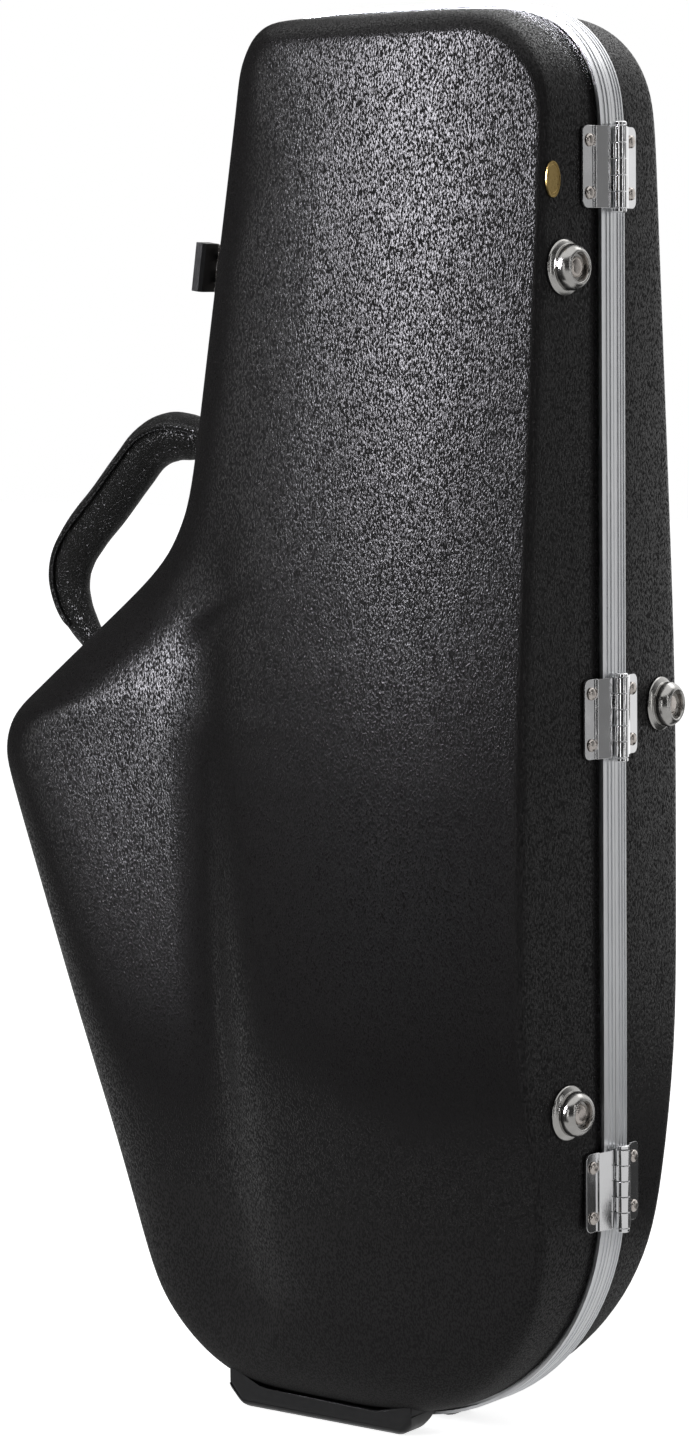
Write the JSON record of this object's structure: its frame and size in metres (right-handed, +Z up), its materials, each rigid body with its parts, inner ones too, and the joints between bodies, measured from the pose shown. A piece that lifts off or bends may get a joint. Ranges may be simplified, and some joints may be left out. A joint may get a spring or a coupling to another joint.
{
  "type": "saxophone case",
  "caption": "Hard alto saxophone case: two moulded shells on a metal valance, side hinges, draw latches, swinging handle, padded bed",
  "frame": {"origin": "middle of the bottom of the bounding box, on the floor under the stand", "axes": "+Z up along the case's length, +X towards the hinge side, -X towards the bell and the handle, -Y towards the lid, +Y towards the base"},
  "size_m": [0.3496, 0.161, 0.6577],
  "materials": {
    "shell_plastic": "black moulded shell with a long crinkled grain",
    "valance_metal": "bare extrusion with fine ribs",
    "bright_metal": "bright plating",
    "dull_metal": "dull steel",
    "badge_gilt": "bare gilt oval",
    "plush": "short black plush over foam",
    "grip_leather": "black stitched grip",
    "hard_black": "hard black moulding"
  },
  "bodies": {
    "base": {"base_shell": "shell_plastic", "base_valance": "valance_metal", "base_bed": "plush", "base_stand": "hard_black", "middle_side_foot": "bright_metal", "middle_side_foot_rivet": "dull_metal", "handle_upper_bracket": "hard_black", "handle_lower_bracket": "hard_black", "handle_upper_pin": "bright_metal", "handle_lower_pin": "bright_metal", "upper_hinge_base_leaf": "bright_metal", "upper_hinge_pin": "dull_metal", "upper_hinge_base_rivet_high": "dull_metal", "upper_hinge_base_rivet_low": "dull_metal", "middle_hinge_base_leaf": "bright_metal", "middle_hinge_pin": "dull_metal", "middle_hinge_base_rivet_high": "dull_metal", "middle_hinge_base_rivet_low": "dull_metal", "lower_hinge_base_leaf": "bright_metal", "lower_hinge_pin": "dull_metal", "lower_hinge_base_rivet_high": "dull_metal", "lower_hinge_base_rivet_low": "dull_metal", "neck_latch_keeper": "dull_metal", "bell_latch_plate": "dull_metal", "bell_latch_pin": "bright_metal", "bow_latch_plate": "dull_metal", "bow_latch_pin": "bright_metal"},
    "lid": {"lid_shell": "shell_plastic", "lid_valance": "valance_metal", "lid_liner": "plush", "lid_stand": "hard_black", "badge_plate": "badge_gilt", "upper_side_foot": "bright_metal", "upper_side_foot_rivet": "dull_metal", "lower_side_foot": "bright_metal", "lower_side_foot_rivet": "dull_metal", "upper_hinge_lid_leaf": "bright_metal", "upper_hinge_lid_rivet_high": "dull_metal", "upper_hinge_lid_rivet_low": "dull_metal", "middle_hinge_lid_leaf": "bright_metal", "middle_hinge_lid_rivet_high": "dull_metal", "middle_hinge_lid_rivet_low": "dull_metal", "lower_hinge_lid_leaf": "bright_metal", "lower_hinge_lid_rivet_high": "dull_metal", "lower_hinge_lid_rivet_low": "dull_metal", "neck_latch_plate": "dull_metal", "neck_latch_pin": "bright_metal", "bell_latch_keeper": "dull_metal", "bow_latch_keeper": "dull_metal"},
    "neck_lever": {"neck_latch_lever": "hard_black"},
    "neck_bail": {"neck_latch_bail": "bright_metal"},
    "bell_lever": {"bell_latch_lever": "hard_black"},
    "bell_bail": {"bell_latch_bail": "bright_metal"},
    "bow_lever": {"bow_latch_lever": "hard_black"},
    "bow_bail": {"bow_latch_bail": "bright_metal"},
    "handle": {"handle_grip": "grip_leather"}
  },
  "joints": [
    {"name": "lid_hinge", "type": "hinge", "parent": "base", "child": "lid", "pos_m": [0.17156, 0, 0.339], "axis": [0, 0, 1], "range_deg": [0, 110]},
    {"name": "handle_swing", "type": "hinge", "parent": "base", "child": "handle", "pos_m": [-0.10544, 0.02, 0.4065], "axis": [-0.6593, 0, -0.7518], "range_deg": [-80, 80]},
    {"name": "neck_lever_hinge", "type": "hinge", "parent": "lid", "child": "neck_lever", "pos_m": [-0.0412, -0.0165, 0.54194], "axis": [-0.1469, 0, -0.9891], "range_deg": [0, 110]},
    {"name": "neck_bail_hinge", "type": "hinge", "parent": "neck_lever", "child": "neck_bail", "pos_m": [-0.03872, -0.021, 0.54157], "axis": [-0.1469, 0, -0.9891], "range_deg": [-110, 0]},
    {"name": "bell_lever_hinge", "type": "hinge", "parent": "base", "child": "bell_lever", "pos_m": [-0.14693, 0.0165, 0.23013], "axis": [-0.2921, 0, 0.9564], "range_deg": [0, 110]},
    {"name": "bell_bail_hinge", "type": "hinge", "parent": "bell_lever", "child": "bell_bail", "pos_m": [-0.14454, 0.021, 0.23086], "axis": [-0.2921, 0, 0.9564], "range_deg": [-110, 0]},
    {"name": "bow_lever_hinge", "type": "hinge", "parent": "base", "child": "bow_lever", "pos_m": [-0.11211, 0.0165, 0.11613], "axis": [-0.2921, 0, 0.9564], "range_deg": [0, 110]},
    {"name": "bow_bail_hinge", "type": "hinge", "parent": "bow_lever", "child": "bow_bail", "pos_m": [-0.10972, 0.021, 0.11686], "axis": [-0.2921, 0, 0.9564], "range_deg": [-110, 0]}
  ],
  "couplings": [
    {"joint": "neck_bail_hinge", "follows": "neck_lever_hinge", "ratio": -1},
    {"joint": "bell_bail_hinge", "follows": "bell_lever_hinge", "ratio": -1},
    {"joint": "bow_bail_hinge", "follows": "bow_lever_hinge", "ratio": -1}
  ]
}
